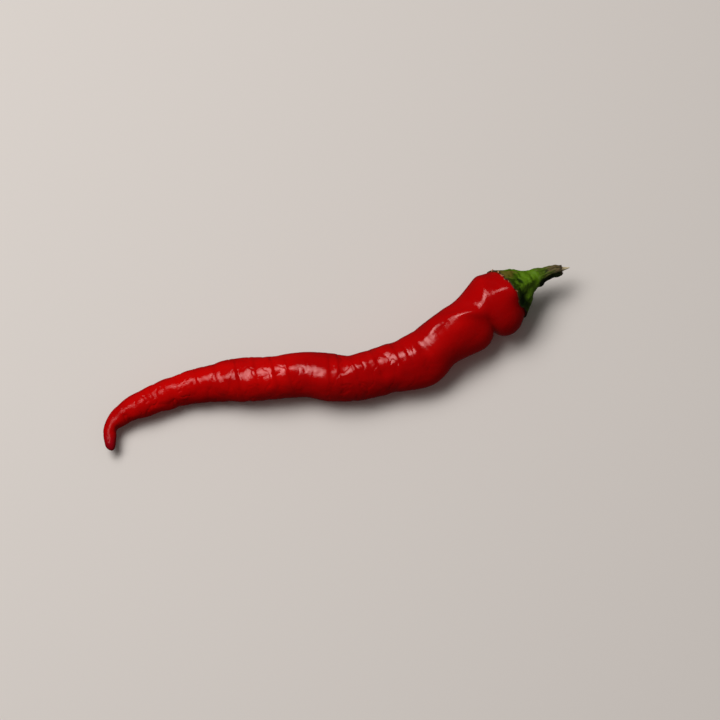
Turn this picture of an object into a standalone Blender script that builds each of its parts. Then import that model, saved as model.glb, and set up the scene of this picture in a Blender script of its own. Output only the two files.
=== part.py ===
"""A ripe cayenne pepper, as picked, lying on its side.

Three pieces grew one on the other: the long wrinkled pod, the leathery calyx that caps
its shoulder, and the short stem that snapped off the plant. The pod lies in an S along
+X, its drooping tip at -X. It rests on three low points: the shoulder, the belly and the
tail. Lengths are in millimetres until a mesh is made.
"""

import math

import bmesh
import bpy
import numpy as np
from mathutils import Vector

MM = 0.001
FACE_GAP = 0.3
FLOOR = 0.0

# Sides and steps of the three drawn-out solids.
POD_SIDES = 36
POD_STEPS = 110
ROUNDING_STEPS = 6
CALYX_SIDES = 48
CALYX_STEPS = 13
STEM_SIDES = 30
STEM_STEPS = 21

# The pod's sections from the tip to the crown: the middle's x, y, z, then half the
# width across the S and half the height.
POD_SECTIONS = [
    (-73.3, -31.2, 4.6, 1.7, 1.8),
    (-74.3, -27.9, 4.5, 2.0, 2.1),
    (-74.4, -24.8, 4.5, 2.3, 2.4),
    (-72.2, -20.5, 4.7, 3.1, 3.2),
    (-67.2, -16.9, 4.9, 4.2, 4.2),
    (-61.6, -14.4, 5.1, 4.9, 4.8),
    (-55.0, -11.3, 5.2, 5.4, 5.3),
    (-45.1, -9.0, 5.75, 6.1, 6.0),
    (-33.7, -7.5, 6.9, 7.2, 6.9),
    (-22.1, -7.2, 7.6, 7.45, 7.3),
    (-10.2, -6.2, 7.9, 7.6, 7.5),
    (1.6, -7.1, 7.7, 7.85, 7.8),
    (13.2, -4.9, 7.55, 8.15, 8.0),
    (24.3, -1.6, 8.3, 8.7, 8.4),
    (34.2, 4.7, 9.2, 8.7, 8.7),
    (41.5, 10.2, 9.5, 8.8, 8.8),
    (46.6, 14.7, 9.9, 9.1, 8.9),
    (52.4, 18.5, 10.35, 11.0, 10.7),
    (56.5, 21.9, 10.7, 9.2, 9.2),
    (58.5, 23.5, 10.8, 8.3, 8.3),
]
TIP_NOSE = 2.8
CROWN_DOME = 2.6

# Swellings and hollows, from the tip to the crown: the place along the pod, the side
# faced (0 is the far side, 90 up, 180 the near side, 270 down), half the length, half
# the spread in degrees, and the height.
POD_LUMPS = [
    (8.5, 180, 1.6, 45, -0.7),
    (5.0, 190, 2.2, 50, 0.3),
    (24.5, 185, 1.8, 40, -0.25),
    (28.0, 185, 3.0, 45, 0.25),
    (33.5, 20, 3.2, 55, -0.4),
    (39.0, 10, 4.0, 60, 0.2),
    (44.5, 15, 3.5, 50, -0.35),
    (57.5, 185, 4.0, 50, 0.3),
    (68.0, 280, 7.0, 60, -0.4),
    (74.0, 180, 7.0, 60, -0.3),
    (83.0, 15, 7.0, 50, 0.4),
    (88.0, 175, 8.0, 60, 0.25),
    (92.0, 10, 4.0, 60, -0.4),
    (112.0, 290, 8.0, 60, -0.4),
    (115.0, 195, 5.0, 42, 1.6),
    (117.5, 70, 3.4, 60, -0.5),
    (124.0, 190, 3.6, 45, -0.5),
    (126.0, 100, 7.0, 60, 0.5),
    (134.5, 195, 4.0, 45, 1.5),
    (137.5, 30, 4.0, 45, -0.5),
    (140.4, 200, 1.5, 60, -1.6),
    (144.0, 75, 5.0, 35, 0.5),
    (146.0, 200, 4.0, 55, 0.8),
]

# Creases across the skin: where along the pod, the side they face, and their depth.
POD_CREASES = [
    (15.8, 80, 0.18),
    (24.0, 95, 0.22),
    (29.4, 60, 0.2),
    (34.5, 85, 0.24),
    (41.4, 90, 0.34),
    (47.7, 80, 0.34),
    (54.6, 85, 0.5),
    (60.3, 70, 0.26),
    (66.5, 85, 0.4),
    (71.5, 110, 0.25),
    (84.3, 90, 0.36),
    (87.4, 75, 0.28),
    (93.0, 95, 0.2),
    (100.6, 90, 0.34),
    (108.0, 80, 0.26),
    (111.5, 95, 0.34),
    (119.0, 60, 0.2),
]
CREASE_HALF_WIDTH = 1.4
CREASE_SPREAD = 62.0
CREASE_LEAN = 0.02

# Each crease has a weaker one behind it: its turn round the pod, its shift, its share.
CREASE_BEHIND = (170, 3.1, 0.7)

# Broad ribs that wind slowly round the pod.
RIB_COUNT = 3
RIB_HEIGHT = 0.022
RIB_TURN = math.radians(0.9)

# The calyx: a cone that hugs the pod's shoulder and narrows to a neck under the stem.
# Its rim is drawn out into blunt points: the side that each faces, and its reach.
CALYX_THICKNESS = 0.9
CALYX_RIM_BACK = 0.7
CALYX_POINTS = [(4, 0.9), (68, 0.3), (137, 1.8), (189, 0.9), (248, 1.4), (310, 0.9)]
POINT_SPREAD = 25.0
NECK_RADIUS = 3.2
CALYX_RIBS = 6
CALYX_RIB_HEIGHT = 0.25
CALYX_RIB_TURN = 1.5

# Lumps and pits on the calyx: the share of the way from rim to neck, the side faced,
# half the length as a share, half the spread in degrees, and the height.
CALYX_LUMPS = [
    (0.52, 18, 0.16, 22, 0.7),
    (0.3, 62, 0.14, 20, 0.4),
    (0.62, 78, 0.1, 16, -0.6),
    (0.74, 104, 0.14, 24, 0.6),
    (0.4, 128, 0.14, 18, -0.45),
    (0.6, 160, 0.15, 22, 0.5),
    (0.8, 196, 0.1, 24, -0.4),
    (0.45, 232, 0.16, 26, 0.55),
    (0.55, 285, 0.14, 24, -0.45),
    (0.35, 330, 0.14, 20, 0.4),
]
# How much of a lump stands out sideways, and how much towards the stem.
LUMP_OUT = 0.8
LUMP_ALONG = 0.6
# The rings that close the calyx under its rim and over its neck, as shares.
UNDER_SHARE = 0.8
OVER_SHARE = 0.6

# The stem's sections: a peg sunk in the calyx, the flared foot that meets the neck, and
# the stub up to its snapped end. Each is x, y, z and half the width.
STEM_SECTIONS = [
    (63.2, 25.4, 10.9, 1.9),
    (64.9, 26.4, 10.9, 2.0),
    (65.8, 26.9, 10.9, 2.95),
    (68.2, 28.1, 11.0, 2.7),
    (70.7, 29.1, 11.1, 2.1),
    (72.9, 29.7, 11.3, 1.8),
    (75.0, 30.0, 11.5, 1.45),
]
NECK_STATION = 2.6
STEM_RIBS = 5
STEM_RIB_SHARE = 0.06
STEM_RIB_TURN = 0.2
STEM_CAP_SHARE = 0.5

# A fibre torn out of the snapped end, as a thin cone.
FIBRE_LENGTH = 2.6
FIBRE_ROOT = 0.6
FIBRE_POINT = 0.12
FIBRE_SUNK = 1.2
FIBRE_OFF_CENTRE = (0.0, 0.17, 0.23)
FIBRE_SIDES = 8

POD_RED = (0.52, 0.008, 0.01, 1.0)
CALYX_GREEN = (0.075, 0.16, 0.022, 1.0)
STEM_OLIVE = (0.13, 0.14, 0.035, 1.0)


def clear_scene():
    for old in list(bpy.data.objects):
        bpy.data.objects.remove(old, do_unlink=True)


def new_collection(name):
    made = bpy.data.collections.new(name)
    bpy.context.scene.collection.children.link(made)
    return made


def smooth(stations, values, at):
    """The natural cubic through values at stations, read at the places in at."""
    x = np.asarray(stations, float)
    y = np.asarray(values, float)
    step = np.diff(x)
    count = len(x)
    system = np.eye(count)
    turn = np.zeros(count)
    for i in range(1, count - 1):
        system[i, i - 1 : i + 2] = step[i - 1], 2 * (step[i - 1] + step[i]), step[i]
        turn[i] = 6 * ((y[i + 1] - y[i]) / step[i] - (y[i] - y[i - 1]) / step[i - 1])
    bend = np.linalg.solve(system, turn)
    k = np.clip(np.searchsorted(x, at) - 1, 0, count - 2)
    back, ahead, span = at - x[k], x[k + 1] - at, step[k]
    cubic = (bend[k] * ahead**3 + bend[k + 1] * back**3) / (6 * span)
    low = (y[k] / span - bend[k] * span / 6) * ahead
    high = (y[k + 1] / span - bend[k + 1] * span / 6) * back
    return cubic + low + high


def spokes(axes, around):
    """Unit vectors that point out from a line at angles round it."""
    _, side, up = axes
    return np.cos(around)[:, None] * side + np.sin(around)[:, None] * up


class Limb:
    """A solid drawn out along a line through its sections. A section's last number is
    half its height, which is also half its width where it gives only one."""

    def __init__(self, sections):
        self.table = np.array(sections, float)
        gaps = np.linalg.norm(np.diff(self.table[:, :3], axis=0), axis=1)
        self.stations = np.concatenate([[0.0], np.cumsum(gaps)])
        self.length = self.stations[-1]

    def read(self, column, at):
        return smooth(self.stations, self.table[:, column], at)

    def middle(self, at):
        return np.stack([self.read(k, at) for k in range(3)], axis=-1)

    def axes(self, at):
        """Unit vectors along the line, to its far side, and up from it."""
        step = 0.05
        along = self.middle(at + step) - self.middle(at - step)
        along /= np.linalg.norm(along, axis=-1, keepdims=True)
        side = np.cross((0.0, 0.0, 1.0), along)
        side /= np.linalg.norm(side, axis=-1, keepdims=True)
        return along, side, np.cross(along, side)

    def point(self, at, around, share, relief=0.0):
        """The surface at a distance along and an angle round, with the section drawn in
        to a share of its size."""
        wide, high = self.read(3, at), self.read(-1, at)
        inverse = np.hypot(np.cos(around) / wide, np.sin(around) / high)
        radius = share * (1 / inverse + relief)
        return self.middle(at) + radius[:, None] * spokes(self.axes(at), around)


def turned_by(around, facing):
    """The angle in degrees between a place round the limb and a facing in degrees."""
    return (np.degrees(around) - facing + 180) % 360 - 180


def bell(distance, reach):
    return np.exp(-((distance / reach) ** 2))


def lumps(features, at, around):
    """The height of the swellings and hollows listed as features."""
    height = np.zeros(len(at))
    for place, facing, reach, spread, peak in features:
        height += peak * bell(at - place, reach) * bell(turned_by(around, facing), spread)
    return height


def creases(at, around):
    depth = np.zeros(len(at))
    turn, shift, share = CREASE_BEHIND
    for place, facing, deepest in POD_CREASES:
        behind = (place + shift, facing + turn, deepest * share)
        for middle, side, peak in ((place, facing, deepest), behind):
            off = turned_by(around, side)
            across = bell(at - middle - CREASE_LEAN * off, CREASE_HALF_WIDTH)
            depth += peak * across * bell(off, CREASE_SPREAD)
    return depth


def pod_relief(at, around):
    """How far the pod's skin stands out from its plain section."""
    ribs = RIB_HEIGHT * POD.read(3, at) * np.cos(RIB_COUNT * around + RIB_TURN * at)
    return lumps(POD_LUMPS, at, around) - creases(at, around) + ribs


def rounded_ends(length, nose, dome):
    """Distances along and shares of the section for rings from one rounded end to the
    other, both poles left out."""
    turn = np.linspace(0, math.pi / 2, ROUNDING_STEPS + 1)[1:]
    tip = [(nose * (1 - math.cos(a)), math.sin(a)) for a in turn]
    body = [(s, 1.0) for s in np.linspace(nose, length - dome, POD_STEPS + 1)[1:]]
    crown = [(length - dome * (1 - math.sin(a)), math.cos(a)) for a in turn[:-1]]
    return tip + body + crown


def drawn_blank(sides, rings):
    """A ball with one ring of points for each station, and each point's ring and angle.
    Its poles take the first and the last ring number."""
    blank = bmesh.new()
    bmesh.ops.create_uvsphere(blank, u_segments=sides, v_segments=rings + 1, radius=1)
    places = np.array([v.co for v in blank.verts])
    level = np.arccos(np.clip(-places[:, 2], -1, 1)) / math.pi * (rings + 1)
    around = np.arctan2(places[:, 1], places[:, 0])
    return blank, np.rint(level).astype(int), around


def set_points(blank, points):
    for vert, place in zip(blank.verts, points):
        vert.co = Vector(place)


def finish_object(blank, name, collection, origin):
    """The blank as a smooth-shaded object whose own origin is the given point."""
    bmesh.ops.translate(blank, verts=blank.verts, vec=-Vector(origin))
    bmesh.ops.scale(blank, verts=blank.verts, vec=(MM, MM, MM))
    mesh = bpy.data.meshes.new(name)
    blank.to_mesh(mesh)
    blank.free()
    mesh.shade_smooth()
    made = bpy.data.objects.new(name, mesh)
    made.location = Vector(origin) * MM
    collection.objects.link(made)
    return made


def cut(target, operation, tool):
    """Applies a Boolean with the tool, and leaves the tool out of the render."""
    modifier = target.modifiers.new(operation.lower(), "BOOLEAN")
    modifier.operation = operation
    modifier.object = tool
    tool.hide_render = True
    tool.display_type = "WIRE"


def skin(name, colour, roughness):
    made = bpy.data.materials.new(name)
    made.use_nodes = True
    shader = made.node_tree.nodes["Principled BSDF"]
    shader.inputs["Base Color"].default_value = colour
    shader.inputs["Roughness"].default_value = roughness
    shader.inputs["Metallic"].default_value = 0.0
    made.diffuse_color = colour
    return made


POD = Limb(POD_SECTIONS)
STEM = Limb(STEM_SECTIONS)


def make_pod(name, collection, swell=0.0):
    """The pod, pressed flat where it rests, or with a swell the cutter that keeps the
    calyx clear of it."""
    stations = rounded_ends(POD.length, TIP_NOSE, CROWN_DOME)
    rings = np.array([(0.0, 0.0), *stations, (POD.length, 0.0)])
    blank, ring, around = drawn_blank(POD_SIDES, len(stations))
    at, share = rings[ring].T
    points = POD.point(at, around, share, pod_relief(at, around) + swell)
    if swell == 0:
        points[:, 2] = np.maximum(points[:, 2], FLOOR)
    set_points(blank, points)
    return finish_object(blank, name, collection, (0, 0, 0))


def calyx_rim(around):
    """The outer edge of the rim, a little proud of the pod."""
    place = np.full(len(around), POD.length - CROWN_DOME + CALYX_RIM_BACK)
    for facing, reach in CALYX_POINTS:
        place -= reach * bell(turned_by(around, facing), POINT_SPREAD)
    proud = pod_relief(place, around) + CALYX_THICKNESS
    return POD.point(place, around, np.ones(len(place)), proud)


def calyx_flank(level, around):
    """The outer face. Level runs from 0 at the rim to 1 at the neck."""
    neck = np.array([NECK_STATION])
    axes = STEM.axes(neck)
    out = spokes(axes, around)
    low = calyx_rim(around)
    high = STEM.middle(neck) + NECK_RADIUS * out
    ribs = CALYX_RIB_HEIGHT * np.cos(CALYX_RIBS * around + CALYX_RIB_TURN * level)
    height = np.sin(math.pi * level) * ribs + lumps(CALYX_LUMPS, level, around)
    proud = height[:, None] * (LUMP_OUT * out + LUMP_ALONG * axes[0])
    return low + (high - low) * level[:, None] + proud


def make_calyx(collection, cutters):
    """A cone on the shoulder, hollowed to the pod's crown and bored for the stem."""
    blank, ring, around = drawn_blank(CALYX_SIDES, CALYX_STEPS + 3)
    last = CALYX_STEPS + 4
    level = np.clip((ring - 2) / CALYX_STEPS, 0, 1)
    points = calyx_flank(level, around)
    core = POD.middle(np.array([POD.length - CROWN_DOME]))
    under = ring < 2
    points[under] = core + (points[under] - core) * (UNDER_SHARE * ring[under])[:, None]
    top = STEM.middle(np.array([NECK_STATION]))
    over = ring > last - 2
    drawn_in = OVER_SHARE * (last - ring[over])
    points[over] = top + (points[over] - top) * drawn_in[:, None]
    set_points(blank, points)
    calyx = finish_object(blank, "calyx", collection, tuple(core[0]))
    cut(calyx, "DIFFERENCE", make_pod("pod_space", cutters, swell=FACE_GAP))
    cut(calyx, "DIFFERENCE", make_stem("stem_space", cutters, swell=FACE_GAP))
    return calyx


def make_stem(name, collection, swell=0.0):
    """The stem, ribbed along its length, or with a swell the cutter for its socket."""
    places = np.linspace(0, STEM.length, STEM_STEPS + 1)
    foot, end = (0.0, STEM_CAP_SHARE), (STEM.length, STEM_CAP_SHARE)
    stations = [foot, *[(s, 1.0) for s in places], end]
    rings = np.array([(0.0, 0.0), *stations, (STEM.length, 0.0)])
    blank, ring, around = drawn_blank(STEM_SIDES, len(stations))
    at, share = rings[ring].T
    at = np.where(at == 0, -swell, at)
    ribs = STEM_RIB_SHARE * STEM.read(3, at) * np.cos(STEM_RIBS * around + STEM_RIB_TURN * at)
    set_points(blank, STEM.point(at, around, share, ribs + swell))
    return finish_object(blank, name, collection, STEM_SECTIONS[0][:3])


def make_fibre(collection):
    """A thin cone that starts inside the stem and stands out of its snapped end."""
    blank = bmesh.new()
    length = FIBRE_LENGTH + FIBRE_SUNK
    bmesh.ops.create_cone(
        blank,
        cap_ends=True,
        segments=FIBRE_SIDES,
        radius1=FIBRE_ROOT,
        radius2=FIBRE_POINT,
        depth=length,
    )
    end = np.array([STEM.length])
    along = Vector(STEM.axes(end)[0][0])
    start = Vector(STEM.middle(end)[0]) + Vector(FIBRE_OFF_CENTRE) - FIBRE_SUNK * along
    turn = along.to_track_quat("Z", "Y").to_matrix()
    bmesh.ops.rotate(blank, verts=blank.verts, matrix=turn)
    bmesh.ops.translate(blank, verts=blank.verts, vec=start + length / 2 * along)
    return finish_object(blank, "fibre", collection, tuple(start))


def build():
    clear_scene()
    pepper = new_collection("Cayenne pepper")
    cutters = new_collection("Cutters")
    root = bpy.data.objects.new("cayenne_pepper", None)
    pepper.objects.link(root)
    stem = make_stem("stem", pepper)
    cut(stem, "UNION", make_fibre(cutters))
    pieces = [
        (make_pod("pod", pepper), skin("pod skin", POD_RED, 0.22)),
        (make_calyx(pepper, cutters), skin("calyx green", CALYX_GREEN, 0.55)),
        (stem, skin("stem olive", STEM_OLIVE, 0.7)),
    ]
    for piece, finish in pieces:
        piece.data.materials.append(finish)
        piece.parent = root


build()
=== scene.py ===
"""The looks of a ripe cayenne pepper, as picked, lying on its side on a pale table.

Lengths are in millimetres until a mesh is made. The pod runs from its drooping tip at -X
to the stem at +X, with +Y its far side and +Z up.
"""

import math

import bpy
import numpy as np
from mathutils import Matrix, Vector


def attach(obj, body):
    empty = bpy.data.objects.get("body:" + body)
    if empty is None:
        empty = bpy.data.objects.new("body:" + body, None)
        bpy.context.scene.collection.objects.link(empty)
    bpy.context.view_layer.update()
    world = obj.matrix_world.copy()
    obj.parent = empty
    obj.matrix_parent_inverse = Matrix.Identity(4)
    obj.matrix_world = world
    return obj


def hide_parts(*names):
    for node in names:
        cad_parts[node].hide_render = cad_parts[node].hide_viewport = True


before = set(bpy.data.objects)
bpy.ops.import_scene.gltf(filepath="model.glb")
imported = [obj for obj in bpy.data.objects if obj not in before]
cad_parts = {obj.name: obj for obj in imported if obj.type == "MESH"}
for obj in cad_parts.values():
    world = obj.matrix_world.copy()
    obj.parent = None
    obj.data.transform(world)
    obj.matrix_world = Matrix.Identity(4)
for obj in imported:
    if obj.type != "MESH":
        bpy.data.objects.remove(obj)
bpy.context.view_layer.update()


# The pod
# The fruit itself, a long thin-walled berry under a glossy waxy skin. It grew from the
# calyx down to the hooked tip, and the skin drew into creases across it as it ripened.

MM = 0.001
POD_SIDES = 168
POD_STEPS = 560
ROUNDING_STEPS = 10
FLOOR = 0.0

# The pod's sections from the tip to the crown: the middle's x, y, z, then half the
# width across the S and half the height.
POD_SECTIONS = [
    (-73.3, -31.2, 4.6, 1.7, 1.8),
    (-74.3, -27.9, 4.5, 2.0, 2.1),
    (-74.4, -24.8, 4.5, 2.3, 2.4),
    (-72.2, -20.5, 4.7, 3.1, 3.2),
    (-67.2, -16.9, 4.9, 4.2, 4.2),
    (-61.6, -14.4, 5.1, 4.9, 4.8),
    (-55.0, -11.3, 5.2, 5.4, 5.3),
    (-45.1, -9.0, 5.75, 6.1, 6.0),
    (-33.7, -7.5, 6.9, 7.2, 6.9),
    (-22.1, -7.2, 7.6, 7.45, 7.3),
    (-10.2, -6.2, 7.9, 7.6, 7.5),
    (1.6, -7.1, 7.7, 7.85, 7.8),
    (13.2, -4.9, 7.55, 8.15, 8.0),
    (24.3, -1.6, 8.3, 8.7, 8.4),
    (34.2, 4.7, 9.2, 8.7, 8.7),
    (41.5, 10.2, 9.5, 8.8, 8.8),
    (46.6, 14.7, 9.9, 9.1, 8.9),
    (52.4, 18.5, 10.35, 11.0, 10.7),
    (56.5, 21.9, 10.7, 9.2, 9.2),
    (58.5, 23.5, 10.8, 8.3, 8.3),
]
TIP_NOSE = 2.8
CROWN_DOME = 2.6

# Swellings and hollows: the place along the pod, the side faced (0 is the far side, 90
# up, 180 the near side, 270 down), half the length, half the spread in degrees, and the
# height.
POD_LUMPS = [
    (8.5, 180, 1.6, 45, -0.7),
    (5.0, 190, 2.2, 50, 0.3),
    (24.5, 185, 1.8, 40, -0.25),
    (28.0, 185, 3.0, 45, 0.25),
    (33.5, 20, 3.2, 55, -0.4),
    (39.0, 10, 4.0, 60, 0.2),
    (44.5, 15, 3.5, 50, -0.35),
    (57.5, 185, 4.0, 50, 0.3),
    (68.0, 280, 7.0, 60, -0.4),
    (74.0, 180, 7.0, 60, -0.3),
    (83.0, 15, 7.0, 50, 0.4),
    (88.0, 175, 8.0, 60, 0.25),
    (92.0, 10, 4.0, 60, -0.4),
    (112.0, 290, 8.0, 60, -0.4),
    (115.0, 195, 5.0, 42, 1.6),
    (117.5, 70, 3.4, 60, -0.5),
    (124.0, 190, 3.6, 45, -0.5),
    (126.0, 100, 7.0, 60, 0.5),
    (134.5, 195, 4.0, 45, 1.5),
    (137.5, 30, 4.0, 45, -0.5),
    (140.4, 200, 1.5, 60, -1.6),
    (144.0, 75, 5.0, 35, 0.5),
    (146.0, 200, 4.0, 55, 0.8),
]

# Creases across the skin: the place along the pod, the side they face, and their depth.
POD_CREASES = [
    (15.8, 80, 0.18),
    (24.0, 95, 0.22),
    (29.4, 60, 0.2),
    (34.5, 85, 0.24),
    (41.4, 90, 0.34),
    (47.7, 80, 0.34),
    (54.6, 85, 0.5),
    (60.3, 70, 0.26),
    (66.5, 85, 0.4),
    (71.5, 110, 0.25),
    (84.3, 90, 0.36),
    (87.4, 75, 0.28),
    (93.0, 95, 0.2),
    (100.6, 90, 0.34),
    (108.0, 80, 0.26),
    (111.5, 95, 0.34),
    (119.0, 60, 0.2),
]
CREASE_SPREAD = 62.0
CREASE_LEAN = 0.02

# The skin drops into a crease steeply on the tip's side and rises out of it gently.
CREASE_STEEP = 0.7
CREASE_GENTLE = 2.4

# Each crease has a weaker one behind it: its turn round the pod in degrees, its shift along
# the pod, and its share of the depth.
CREASE_BEHIND = (170, 3.1, 0.7)

# Softer forms that only the finished skin has, listed as the swellings are.
POD_FORMS = [
    (11.5, 90, 1.6, 40, -0.25),
    (18.0, 75, 1.6, 35, -0.35),
    (21.5, 100, 1.6, 30, 0.25),
    (26.5, 70, 1.4, 30, -0.35),
    (32.0, 100, 1.6, 30, -0.3),
    (66.0, 125, 3.0, 22, 0.25),
    (74.0, 100, 4.0, 40, -0.35),
    (85.0, 118, 6.0, 28, 0.9),
    (96.0, 70, 6.0, 26, 0.3),
    (104.0, 62, 3.0, 26, 0.3),
    (113.6, 100, 1.2, 32, 0.3),
    (116.6, 88, 1.5, 36, -0.4),
    (120.8, 98, 2.2, 30, 0.25),
]

# Soft ridges that lie aslant on the shoulder, listed as the swellings are, with the
# degrees they turn round the pod in a millimetre before the height.
POD_RIDGES = [
    (124.0, 56, 5.0, 20, -1.5, 0.8),
    (124.5, 73, 5.0, 8, -0.5, 0.3),
    (132.0, 66, 3.0, 14, 3.5, -0.4),
    (134.5, 88, 4.5, 14, 3.8, 1.0),
    (136.5, 96, 2.5, 16, 3.8, 0.3),
    (139.0, 111, 3.8, 22, 0.0, 0.65),
    (141.5, 92, 2.2, 12, -2.0, 0.35),
    (145.2, 84, 1.4, 9, 0.0, -0.17),
    (147.0, 74, 3.0, 16, 3.0, -0.5),
    (148.0, 98, 6.5, 60, 0.0, -0.7),
    (149.0, 92, 2.0, 10, 2.0, 0.2),
    (151.3, 109, 3.2, 25, 0.0, 2.2),
]

# Broad ribs that wind slowly round the pod.
RIB_COUNT = 3
RIB_HEIGHT = 0.022
RIB_TURN = math.radians(0.9)

# How strongly the skin is folded at places along the pod. It is taut over the shoulder.
FOLD_PLACES = (0.0, 5.0, 12.0, 30.0, 45.0, 66.0, 74.0, 82.0, 87.0, 104.0, 119.0)
FOLD_SHARES = (0.3, 0.7, 1.0, 1.1, 0.85, 0.85, 0.45, 0.45, 1.0, 1.0, 0.2)

# Scars in the skin, listed as the swellings are, with the strength of the mark last.
POD_SCARS = [
    (8.5, 20, 0.5, 14, 1.0),
    (37.0, 300, 0.5, 5, 0.7),
    (77.0, 245, 0.7, 4, 0.8),
    (101.0, 340, 0.4, 4, 0.7),
]

DEEP_RED = (0.42, 0.0008, 0.0012, 1)
BRIGHT_RED = (0.56, 0.0015, 0.0012, 1)
# A darker red painted as shade where the skin lies low in creases and hollows.
CREASE_SHADE_RED = (0.28, 0.0005, 0.0008, 1)
TIP_PURPLE = (0.15, 0.002, 0.01, 1)
SCAR_BROWN = (0.03, 0.004, 0.002, 1)
WAX_TINT = (1.0, 0.6, 0.58, 1)

# Patterns in the skin: how often they repeat in a millimetre along the pod and round it.
CLOUDS = (0.05, 0.08, 0.08)
WAX_STREAKS = (0.35, 0.2, 0.2)
SKIN_GRAIN = (0.5, 2.2, 2.2)
SKIN_GRAIN_DEPTH = 0.05

# Where each colour starts and where it is full: the bright clouds by the strength of their
# pattern, the painted shade of darker red by how low the skin lies in creases and
# hollows, with folds counting more than the relief, and the purple by the place along the
# pod, where it hides the red in part.
CLOUD_OVER = (0.35, 0.68)
POD_SHADE_OVER = (-0.9, -2.2)
FOLD_WEIGHT = 1.5
PURPLE_OVER = (7.0, 0.5)
PURPLE_SHARE = 0.6

# The roughness from the waxiest to the dullest streaks, and how much the tail adds to it
# over the places where it starts and where it is full.
STREAKS_OVER = (0.3, 0.75)
SKIN_ROUGHNESS = (0.08, 0.2)
TAIL_OVER = (45.0, 15.0)
TAIL_ROUGHNESS = 0.08

# The wax thickens from the tail to the belly.
WAX_OVER = (18.0, 75.0)
WAX_LEVELS = (0.2, 0.65)

# The flesh under the skin: how strongly it bends light, how much light passes into it, and
# how far in millimetres. Red goes much the furthest.
FLESH_INDEX = 1.38
FLESH_GLOW = 0.1
FLESH_REACH = (1.0, 0.1, 0.06)
FLESH_SCALE = 1.5

# The values that a pattern of noise mostly keeps between.
NOISE_SPAN = (0.3, 0.7)


def smooth(stations, values, at):
    """The natural cubic through values at stations, read at the places in at."""
    x = np.asarray(stations, float)
    y = np.asarray(values, float)
    step = np.diff(x)
    count = len(x)
    system = np.eye(count)
    turn = np.zeros(count)
    for i in range(1, count - 1):
        system[i, i - 1 : i + 2] = step[i - 1], 2 * (step[i - 1] + step[i]), step[i]
        turn[i] = 6 * ((y[i + 1] - y[i]) / step[i] - (y[i] - y[i - 1]) / step[i - 1])
    bend = np.linalg.solve(system, turn)
    k = np.clip(np.searchsorted(x, at) - 1, 0, count - 2)
    back, ahead, span = at - x[k], x[k + 1] - at, step[k]
    cubic = (bend[k] * ahead**3 + bend[k + 1] * back**3) / (6 * span)
    low = (y[k] / span - bend[k] * span / 6) * ahead
    high = (y[k + 1] / span - bend[k + 1] * span / 6) * back
    return cubic + low + high


def spokes(axes, around):
    """Unit vectors that point out from a line at angles round it."""
    _, side, up = axes
    return np.cos(around)[:, None] * side + np.sin(around)[:, None] * up


class Limb:
    """A solid drawn out along a line through its sections. A section's last number is
    half its height, and the one after its middle is half its width, which may be the same
    number."""

    def __init__(self, sections):
        self.table = np.array(sections, float)
        gaps = np.linalg.norm(np.diff(self.table[:, :3], axis=0), axis=1)
        self.stations = np.concatenate([[0.0], np.cumsum(gaps)])
        self.length = self.stations[-1]

    def read(self, column, at):
        return smooth(self.stations, self.table[:, column], at)

    def middle(self, at):
        return np.stack([self.read(k, at) for k in range(3)], axis=-1)

    def axes(self, at):
        """Unit vectors along the line, to its far side, and up from it."""
        step = 0.05
        along = self.middle(at + step) - self.middle(at - step)
        along /= np.linalg.norm(along, axis=-1, keepdims=True)
        side = np.cross((0.0, 0.0, 1.0), along)
        side /= np.linalg.norm(side, axis=-1, keepdims=True)
        return along, side, np.cross(along, side)

    def point(self, at, around, share, relief=0.0):
        """The surface at a distance along and an angle round, with the section drawn in
        to a share of its size."""
        wide, high = self.read(3, at), self.read(-1, at)
        inverse = np.hypot(np.cos(around) / wide, np.sin(around) / high)
        radius = share * (1 / inverse + relief)
        return self.middle(at) + radius[:, None] * spokes(self.axes(at), around)

    def straightened(self, at, around, share):
        """Where each point would lie if the limb were drawn out straight."""
        radius = share * self.read(3, at)
        return np.stack([at, radius * np.cos(around), radius * np.sin(around)], axis=-1)


def turned_by(around, facing):
    """The angle in degrees between a place round the limb and a facing in degrees."""
    return (np.degrees(around) - facing + 180) % 360 - 180


def bell(distance, reach):
    return np.exp(-((distance / reach) ** 2))


def lumps(features, at, around):
    """The height of the swellings and hollows listed as features."""
    height = np.zeros(len(at))
    for place, facing, reach, spread, peak in features:
        height += peak * bell(at - place, reach) * bell(turned_by(around, facing), spread)
    return height


def creases(at, around):
    depth = np.zeros(len(at))
    turn, shift, share = CREASE_BEHIND
    for place, facing, deepest in POD_CREASES:
        behind = (place + shift, facing + turn, deepest * share)
        for middle, side, peak in ((place, facing, deepest), behind):
            off = turned_by(around, side)
            past = at - middle - CREASE_LEAN * off
            across = bell(past, np.where(past < 0, CREASE_STEEP, CREASE_GENTLE))
            depth += peak * across * bell(off, CREASE_SPREAD)
    return depth


def pod_relief(at, around):
    """How far the pod's skin stands out from its plain section."""
    ribs = RIB_HEIGHT * POD.read(3, at) * np.cos(RIB_COUNT * around + RIB_TURN * at)
    return lumps(POD_LUMPS, at, around) - creases(at, around) + ribs


def skin_relief(at, around):
    """The pod's relief with the softer forms of the finished skin."""
    relief = pod_relief(at, around) + lumps(POD_FORMS, at, around)
    for place, facing, reach, spread, lean, peak in POD_RIDGES:
        past = at - place
        off = turned_by(around, facing) - lean * past
        relief += peak * bell(past, reach) * bell(off, spread)
    return relief


def rounded_ends(length, nose, dome):
    """Distances along and shares of the section for rings from one rounded end to the
    other, both poles left out."""
    turn = np.linspace(0, math.pi / 2, ROUNDING_STEPS + 1)[1:]
    tip = [(nose * (1 - math.cos(a)), math.sin(a)) for a in turn]
    body = [(s, 1.0) for s in np.linspace(nose, length - dome, POD_STEPS + 1)[1:]]
    crown = [(length - dome * (1 - math.sin(a)), math.cos(a)) for a in turn[:-1]]
    return tip + body + crown


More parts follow.
